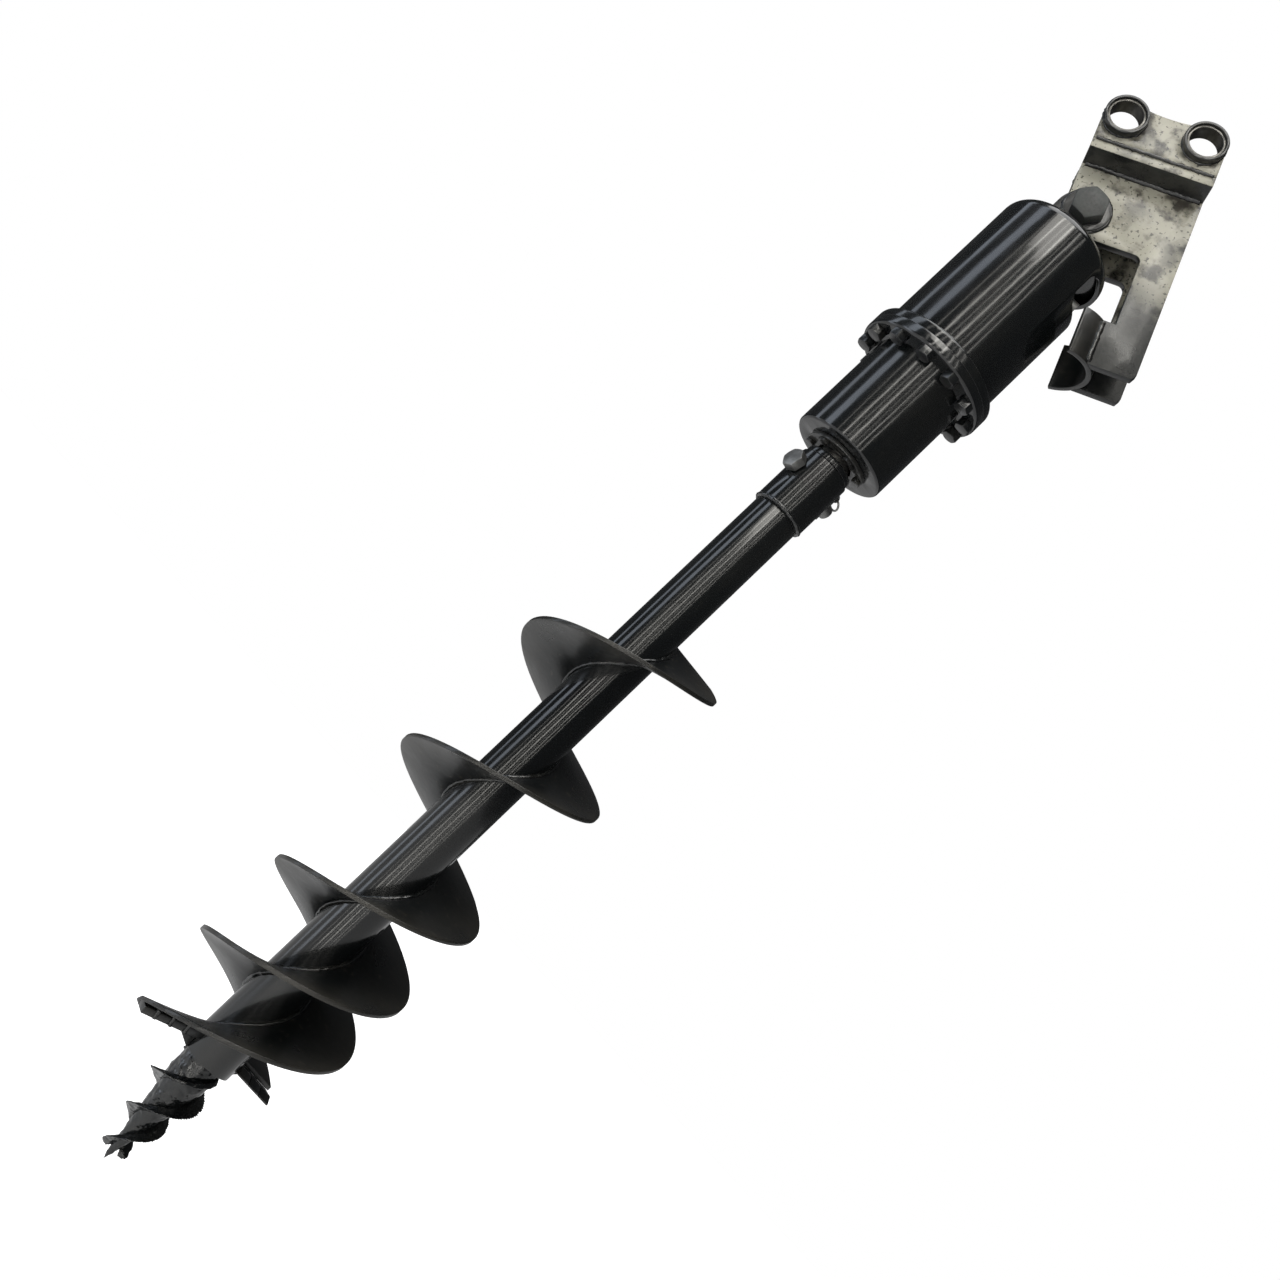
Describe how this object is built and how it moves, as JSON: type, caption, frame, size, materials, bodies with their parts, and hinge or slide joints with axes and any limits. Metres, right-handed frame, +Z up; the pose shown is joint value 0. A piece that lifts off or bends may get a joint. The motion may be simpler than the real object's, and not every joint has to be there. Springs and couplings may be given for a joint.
{
  "type": "earth auger drive",
  "caption": "Hydraulic planetary earth drill with a two-pin excavator hitch, hooded motor, gearcase, pinned spiral auger, cutting head and screw pilot.",
  "frame": {"origin": "centre of the arm pin bore, midway between the two ears", "axes": "+Y along the two hitch pins, +Z up along the plumb drive, +X towards the link pin and the hood rest"},
  "size_m": [0.3341, 0.247, 1.9663],
  "materials": {
    "black_paint": "gloss black enamel, sprayed over welds",
    "machined_steel": "ground and oiled",
    "plated_steel": "dull zinc plate",
    "cast_iron": "painted casting",
    "seal_rubber": "matt"
  },
  "bodies": {
    "hitch": {"deck_plate": "black_paint", "front_ear_plate": "black_paint", "rear_ear_plate": "black_paint", "ear_bosses": "black_paint", "arm_pin_bushes": "machined_steel", "link_pin_bushes": "machined_steel", "front_side_plate": "black_paint", "rear_side_plate": "black_paint", "hood_rest": "black_paint", "pivot_pads": "black_paint", "pivot_bolt": "black_paint", "pivot_nut": "plated_steel", "thrust_washers": "machined_steel"},
    "drive": {"pivot_lug": "black_paint", "lug_bush": "machined_steel", "hood": "black_paint", "hood_flange": "black_paint", "gear_case": "black_paint", "flange_bolts": "black_paint", "ring_gear": "machined_steel", "bearing_cups": "machined_steel", "bearing_rollers": "machined_steel", "shaft_seal": "seal_rubber", "seal_retainer": "black_paint", "retainer_bolts": "plated_steel", "motor_plate": "cast_iron", "motor_bolts": "plated_steel", "motor_housing": "cast_iron", "gerotor_ring": "machined_steel", "port_block": "cast_iron", "motor_cover": "cast_iron", "port_adapters": "plated_steel"},
    "sun": {"motor_shaft": "machined_steel", "sun_gear": "machined_steel"},
    "auger": {"output_shaft": "machined_steel", "planet_pins": "machined_steel", "planet_retainer": "machined_steel", "bearing_cones": "machined_steel", "dust_ring": "machined_steel", "auger_hub": "black_paint", "hub_pin": "plated_steel", "linch_pin": "plated_steel", "auger_tube": "black_paint", "main_flight": "black_paint", "second_flight": "black_paint", "main_cutter_bar": "black_paint", "second_cutter_bar": "black_paint", "main_teeth": "black_paint", "second_teeth": "black_paint", "cutter_gussets": "black_paint", "pilot_socket": "black_paint", "pilot_pin": "plated_steel", "pilot_core": "black_paint", "pilot_flight": "black_paint"},
    "planet_1": {"planet_gear_1": "machined_steel"},
    "planet_2": {"planet_gear_2": "machined_steel"},
    "planet_3": {"planet_gear_3": "machined_steel"},
    "linch_ring_body": {"linch_ring": "plated_steel"}
  },
  "joints": [
    {"name": "drive_swing", "type": "hinge", "parent": "hitch", "child": "drive", "pos_m": [0.0477, 0, -0.11986], "axis": [0, 1, 0], "range_deg": [-9.5, 75]},
    {"name": "auger_spin", "type": "hinge", "parent": "drive", "child": "auger", "pos_m": [0.0477, 0, -0.9], "axis": [0, 0, 1], "continuous": true},
    {"name": "motor_spin", "type": "hinge", "parent": "drive", "child": "sun", "pos_m": [0.0477, 0, -0.4], "axis": [0, 0, 1], "continuous": true},
    {"name": "planet_1_spin", "type": "hinge", "parent": "auger", "child": "planet_1", "pos_m": [0.0837, 0, -0.46], "axis": [0, 0, 1], "continuous": true},
    {"name": "planet_2_spin", "type": "hinge", "parent": "auger", "child": "planet_2", "pos_m": [0.0297, 0.03118, -0.46], "axis": [0, 0, 1], "continuous": true},
    {"name": "planet_3_spin", "type": "hinge", "parent": "auger", "child": "planet_3", "pos_m": [0.0297, -0.03118, -0.46], "axis": [0, 0, 1], "continuous": true},
    {"name": "linch_ring_swing", "type": "hinge", "parent": "auger", "child": "linch_ring_body", "pos_m": [0.07823, 0.03639, -0.64386], "axis": [0.766, -0.6428, 0], "range_deg": [-5, 90]}
  ],
  "couplings": [
    {"joint": "motor_spin", "follows": "auger_spin", "ratio": 4},
    {"joint": "planet_1_spin", "follows": "auger_spin", "ratio": -3},
    {"joint": "planet_2_spin", "follows": "auger_spin", "ratio": -3},
    {"joint": "planet_3_spin", "follows": "auger_spin", "ratio": -3}
  ]
}
